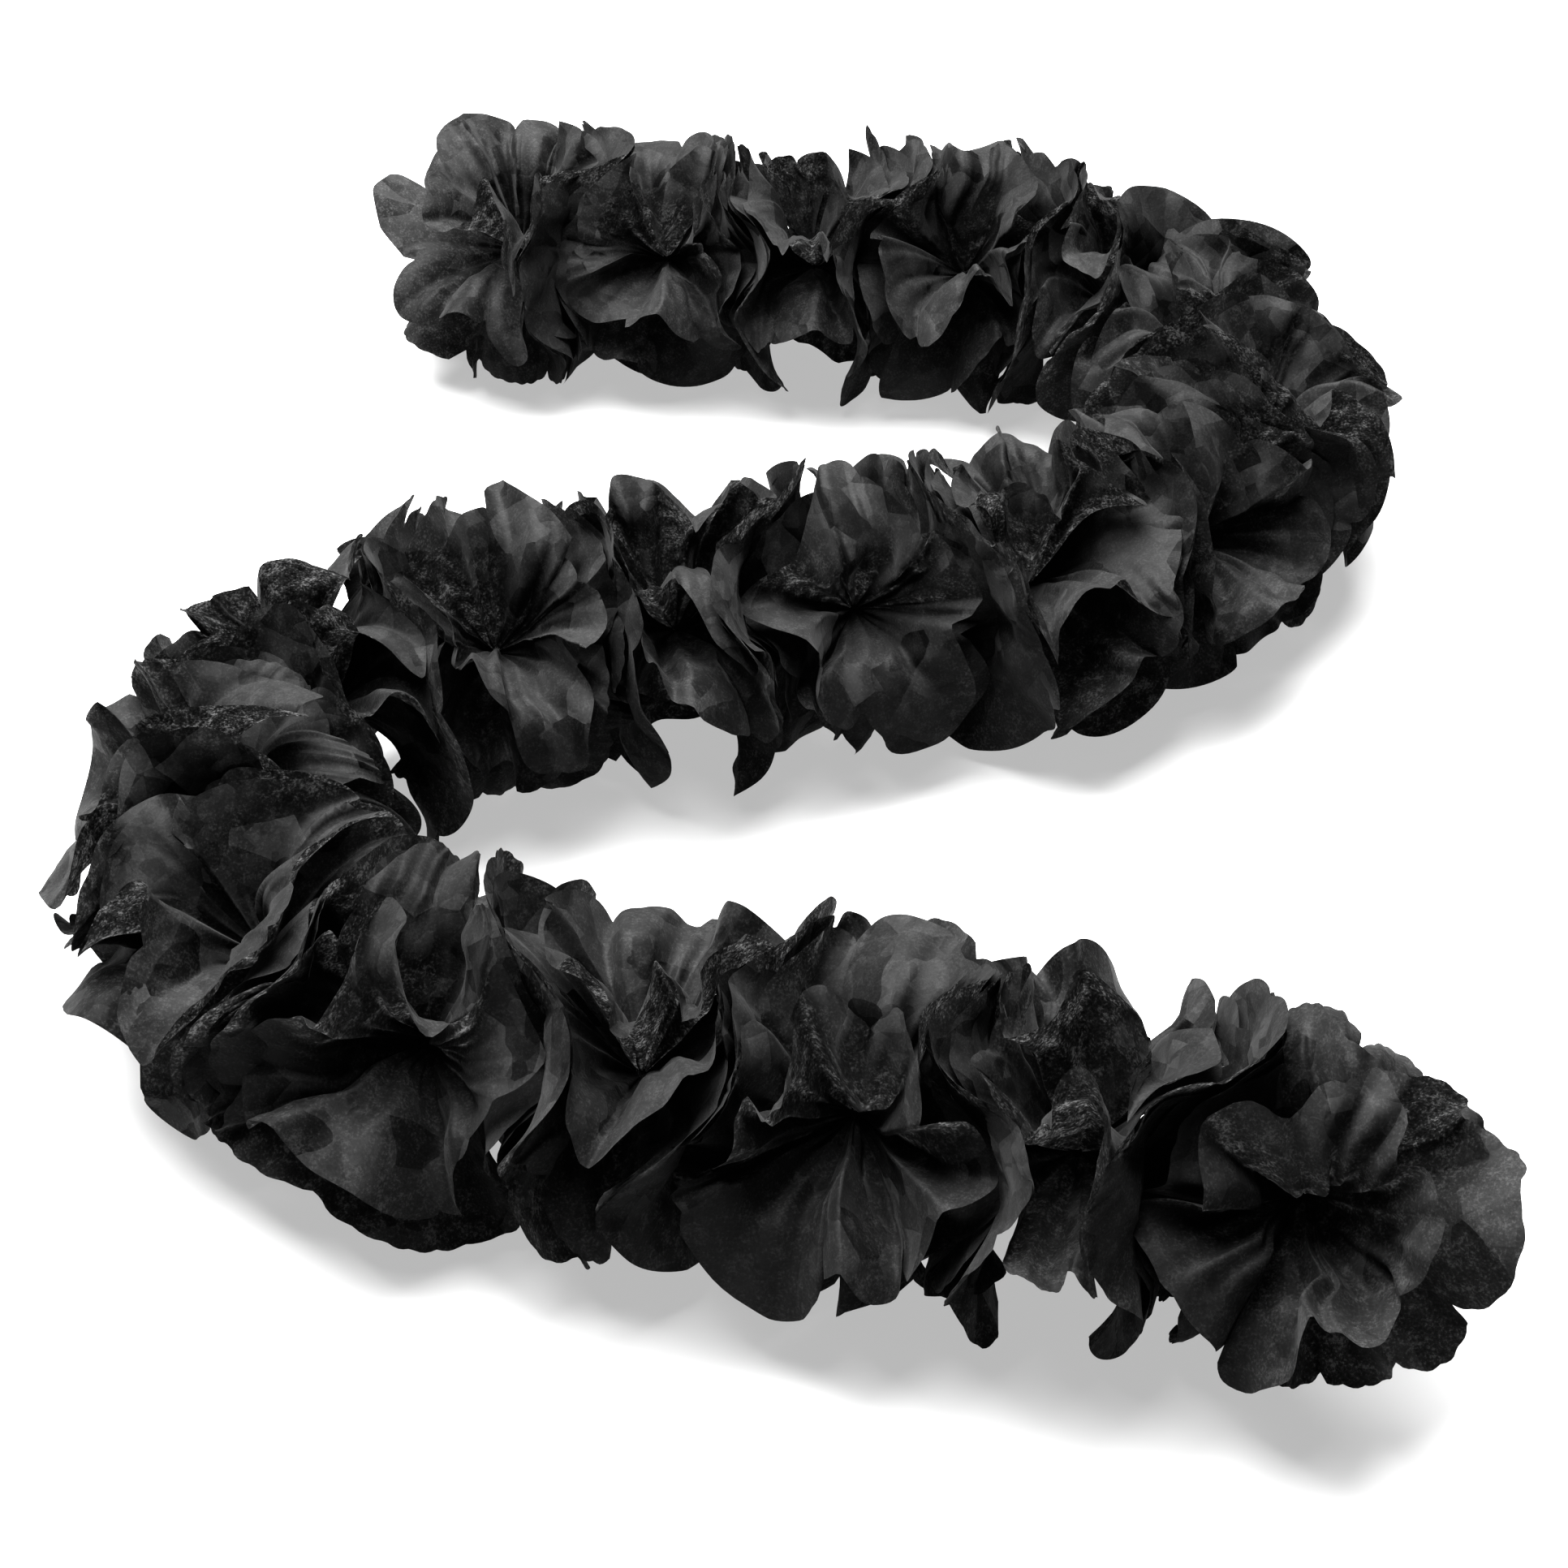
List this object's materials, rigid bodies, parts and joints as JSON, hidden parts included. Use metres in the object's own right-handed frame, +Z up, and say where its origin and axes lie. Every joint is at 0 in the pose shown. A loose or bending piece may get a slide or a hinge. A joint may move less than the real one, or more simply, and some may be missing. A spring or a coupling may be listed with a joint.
{
  "type": "tissue paper flower boa",
  "caption": "Costume boa of gathered black tissue-paper flowers, each knotted on one flexible cord, laid on a surface in a flat S.",
  "frame": {"origin": "on the surface that the boa lies on, under the centre of its bounding box", "axes": "+Z up, +X to the right along the runs, +Y from the near run towards the far run"},
  "size_m": [0.6378, 0.8974, 0.1487],
  "materials": {
    "tissue": "matte crinkled tissue paper",
    "cord": "matte twisted cotton cord"
  },
  "bodies": {
    "flower_01": {"flower_01": "tissue", "knot_01": "cord"},
    "flower_02": {"flower_02": "tissue", "knot_02": "cord"},
    "flower_03": {"flower_03": "tissue", "knot_03": "cord"},
    "flower_04": {"flower_04": "tissue", "knot_04": "cord"},
    "flower_05": {"flower_05": "tissue", "knot_05": "cord"},
    "flower_06": {"flower_06": "tissue", "knot_06": "cord"},
    "flower_07": {"flower_07": "tissue", "knot_07": "cord"},
    "flower_08": {"flower_08": "tissue", "knot_08": "cord"},
    "flower_09": {"flower_09": "tissue", "knot_09": "cord"},
    "flower_10": {"flower_10": "tissue", "knot_10": "cord"},
    "flower_11": {"flower_11": "tissue", "knot_11": "cord"},
    "flower_12": {"flower_12": "tissue", "knot_12": "cord"},
    "flower_13": {"flower_13": "tissue", "knot_13": "cord"},
    "flower_14": {"flower_14": "tissue", "knot_14": "cord"},
    "flower_15": {"flower_15": "tissue", "knot_15": "cord"},
    "flower_16": {"flower_16": "tissue", "knot_16": "cord"},
    "flower_17": {"flower_17": "tissue", "knot_17": "cord"},
    "flower_18": {"flower_18": "tissue", "knot_18": "cord"},
    "flower_19": {"flower_19": "tissue", "knot_19": "cord"},
    "flower_20": {"flower_20": "tissue", "knot_20": "cord"},
    "cord_01": {"cord_01": "cord"},
    "cord_02": {"cord_02": "cord"},
    "cord_03": {"cord_03": "cord"},
    "cord_04": {"cord_04": "cord"},
    "cord_05": {"cord_05": "cord"},
    "cord_06": {"cord_06": "cord"},
    "cord_07": {"cord_07": "cord"},
    "cord_08": {"cord_08": "cord"},
    "cord_09": {"cord_09": "cord"},
    "cord_10": {"cord_10": "cord"},
    "cord_11": {"cord_11": "cord"},
    "cord_12": {"cord_12": "cord"},
    "cord_13": {"cord_13": "cord"},
    "cord_14": {"cord_14": "cord"},
    "cord_15": {"cord_15": "cord"},
    "cord_16": {"cord_16": "cord"},
    "cord_17": {"cord_17": "cord"},
    "cord_18": {"cord_18": "cord"},
    "cord_19": {"cord_19": "cord"}
  },
  "joints": [
    {"name": "bend_09_10", "type": "hinge", "parent": "flower_10", "child": "cord_09", "pos_m": [0.04193, 0.01298, 0.07436], "axis": [0, 0, 1], "range_deg": [-25, 25]},
    {"name": "lift_09_10", "type": "hinge", "parent": "cord_09", "child": "flower_09", "pos_m": [0.11598, 0.03008, 0.07436], "axis": [0.225, -0.9744, 0], "range_deg": [-25, 25]},
    {"name": "bend_08_09", "type": "hinge", "parent": "flower_09", "child": "cord_08", "pos_m": [0.12962, 0.03323, 0.07436], "axis": [0, 0, -1], "range_deg": [-5.2, 45]},
    {"name": "lift_08_09", "type": "hinge", "parent": "cord_08", "child": "flower_08", "pos_m": [0.19596, 0.0703, 0.07436], "axis": [-0.712, 0.7022, 0], "range_deg": [-25, 25]},
    {"name": "bend_07_08", "type": "hinge", "parent": "flower_08", "child": "cord_07", "pos_m": [0.20579, 0.08027, 0.07436], "axis": [0, 0, -1], "range_deg": [-5.2, 45]},
    {"name": "lift_07_08", "type": "hinge", "parent": "cord_07", "child": "flower_07", "pos_m": [0.24194, 0.14713, 0.07436], "axis": [0.9774, -0.2113, 0], "range_deg": [-25, 25]},
    {"name": "bend_06_07", "type": "hinge", "parent": "flower_07", "child": "cord_06", "pos_m": [0.2449, 0.16081, 0.07436], "axis": [0, 0, -1], "range_deg": [-5.2, 45]},
    {"name": "lift_06_07", "type": "hinge", "parent": "cord_06", "child": "flower_06", "pos_m": [0.2396, 0.23662, 0.07436], "axis": [-0.9385, -0.3453, 0], "range_deg": [-25, 25]},
    {"name": "bend_05_06", "type": "hinge", "parent": "flower_06", "child": "cord_05", "pos_m": [0.23476, 0.24976, 0.07436], "axis": [0, 0, -1], "range_deg": [-5.2, 45]},
    {"name": "lift_05_06", "type": "hinge", "parent": "cord_05", "child": "flower_05", "pos_m": [0.18966, 0.31094, 0.07436], "axis": [0.6074, 0.7944, 0], "range_deg": [-25, 25]},
    {"name": "bend_04_05", "type": "hinge", "parent": "flower_05", "child": "cord_04", "pos_m": [0.17854, 0.31944, 0.07436], "axis": [0, 0, -1], "range_deg": [-5.2, 45]},
    {"name": "lift_04_05", "type": "hinge", "parent": "cord_04", "child": "flower_04", "pos_m": [0.10768, 0.34692, 0.07436], "axis": [-0.0872, -0.9962, 0], "range_deg": [-25, 25]},
    {"name": "bend_03_04", "type": "hinge", "parent": "flower_04", "child": "cord_03", "pos_m": [0.09374, 0.34814, 0.07436], "axis": [0, 0, 1], "range_deg": [-25, 25]},
    {"name": "lift_03_04", "type": "hinge", "parent": "cord_03", "child": "flower_03", "pos_m": [0.01803, 0.35477, 0.07436], "axis": [0.0872, 0.9962, 0], "range_deg": [-25, 25]},
    {"name": "bend_02_03", "type": "hinge", "parent": "flower_03", "child": "cord_02", "pos_m": [0.00408, 0.35599, 0.07436], "axis": [0, 0, -1], "range_deg": [-25, 25]},
    {"name": "lift_02_03", "type": "hinge", "parent": "cord_02", "child": "flower_02", "pos_m": [-0.07163, 0.36261, 0.07436], "axis": [-0.0872, -0.9962, 0], "range_deg": [-25, 25]},
    {"name": "bend_01_02", "type": "hinge", "parent": "flower_02", "child": "cord_01", "pos_m": [-0.08558, 0.36383, 0.07436], "axis": [0, 0, 1], "range_deg": [-25, 25]},
    {"name": "lift_01_02", "type": "hinge", "parent": "cord_01", "child": "flower_01", "pos_m": [-0.16129, 0.37045, 0.07436], "axis": [0.0872, 0.9962, 0], "range_deg": [-25, 25]},
    {"name": "bend_10_11", "type": "hinge", "parent": "flower_10", "child": "cord_10", "pos_m": [0.02828, 0.00983, 0.07436], "axis": [0, 0, 1], "range_deg": [-25, 25]},
    {"name": "lift_10_11", "type": "hinge", "parent": "cord_10", "child": "flower_11", "pos_m": [-0.04577, -0.00726, 0.07436], "axis": [-0.225, 0.9744, 0], "range_deg": [-25, 25]},
    {"name": "bend_11_12", "type": "hinge", "parent": "flower_11", "child": "cord_11", "pos_m": [-0.05941, -0.01041, 0.07436], "axis": [0, 0, -1], "range_deg": [-25, 25]},
    {"name": "lift_11_12", "type": "hinge", "parent": "cord_11", "child": "flower_12", "pos_m": [-0.13346, -0.02751, 0.07436], "axis": [0.225, -0.9744, 0], "range_deg": [-25, 25]},
    {"name": "bend_12_13", "type": "hinge", "parent": "flower_12", "child": "cord_12", "pos_m": [-0.1471, -0.03066, 0.07436], "axis": [0, 0, -1], "range_deg": [-5.2, 45]},
    {"name": "lift_12_13", "type": "hinge", "parent": "cord_12", "child": "flower_13", "pos_m": [-0.21129, -0.07135, 0.07436], "axis": [-0.7853, 0.6191, 0], "range_deg": [-25, 25]},
    {"name": "bend_13_14", "type": "hinge", "parent": "flower_13", "child": "cord_13", "pos_m": [-0.21996, -0.08235, 0.07436], "axis": [0, 0, -1], "range_deg": [-5.2, 45]},
    {"name": "lift_13_14", "type": "hinge", "parent": "cord_13", "child": "flower_14", "pos_m": [-0.24454, -0.15426, 0.07436], "axis": [1, 0.0087, 0], "range_deg": [-25, 25]},
    {"name": "bend_14_15", "type": "hinge", "parent": "flower_14", "child": "cord_14", "pos_m": [-0.24442, -0.16826, 0.07436], "axis": [0, 0, -1], "range_deg": [-5.2, 45]},
    {"name": "lift_14_15", "type": "hinge", "parent": "cord_14", "child": "flower_15", "pos_m": [-0.21858, -0.23973, 0.07436], "axis": [-0.7744, -0.6327, 0], "range_deg": [-25, 25]},
    {"name": "bend_15_16", "type": "hinge", "parent": "flower_15", "child": "cord_15", "pos_m": [-0.20972, -0.25058, 0.07436], "axis": [0, 0, -1], "range_deg": [-5.2, 45]},
    {"name": "lift_15_16", "type": "hinge", "parent": "cord_15", "child": "flower_16", "pos_m": [-0.14484, -0.29014, 0.07436], "axis": [0.2079, 0.9781, 0], "range_deg": [-25, 25]},
    {"name": "bend_16_17", "type": "hinge", "parent": "flower_16", "child": "cord_16", "pos_m": [-0.13114, -0.29305, 0.07436], "axis": [0, 0, 1], "range_deg": [-25, 25]},
    {"name": "lift_16_17", "type": "hinge", "parent": "cord_16", "child": "flower_17", "pos_m": [-0.0568, -0.30886, 0.07436], "axis": [-0.2079, -0.9781, 0], "range_deg": [-25, 25]},
    {"name": "bend_17_18", "type": "hinge", "parent": "flower_17", "child": "cord_17", "pos_m": [-0.04311, -0.31177, 0.07436], "axis": [0, 0, -1], "range_deg": [-25, 25]},
    {"name": "lift_17_18", "type": "hinge", "parent": "cord_17", "child": "flower_18", "pos_m": [0.03123, -0.32757, 0.07436], "axis": [0.2079, 0.9781, 0], "range_deg": [-25, 25]},
    {"name": "bend_18_19", "type": "hinge", "parent": "flower_18", "child": "cord_18", "pos_m": [0.04492, -0.33048, 0.07436], "axis": [0, 0, 1], "range_deg": [-25, 25]},
    {"name": "lift_18_19", "type": "hinge", "parent": "cord_18", "child": "flower_19", "pos_m": [0.11926, -0.34628, 0.07436], "axis": [-0.2079, -0.9781, 0], "range_deg": [-25, 25]},
    {"name": "bend_19_20", "type": "hinge", "parent": "flower_19", "child": "cord_19", "pos_m": [0.13296, -0.34919, 0.07436], "axis": [0, 0, -1], "range_deg": [-25, 25]},
    {"name": "lift_19_20", "type": "hinge", "parent": "cord_19", "child": "flower_20", "pos_m": [0.2073, -0.36499, 0.07436], "axis": [0.2079, 0.9781, 0], "range_deg": [-25, 25]}
  ]
}
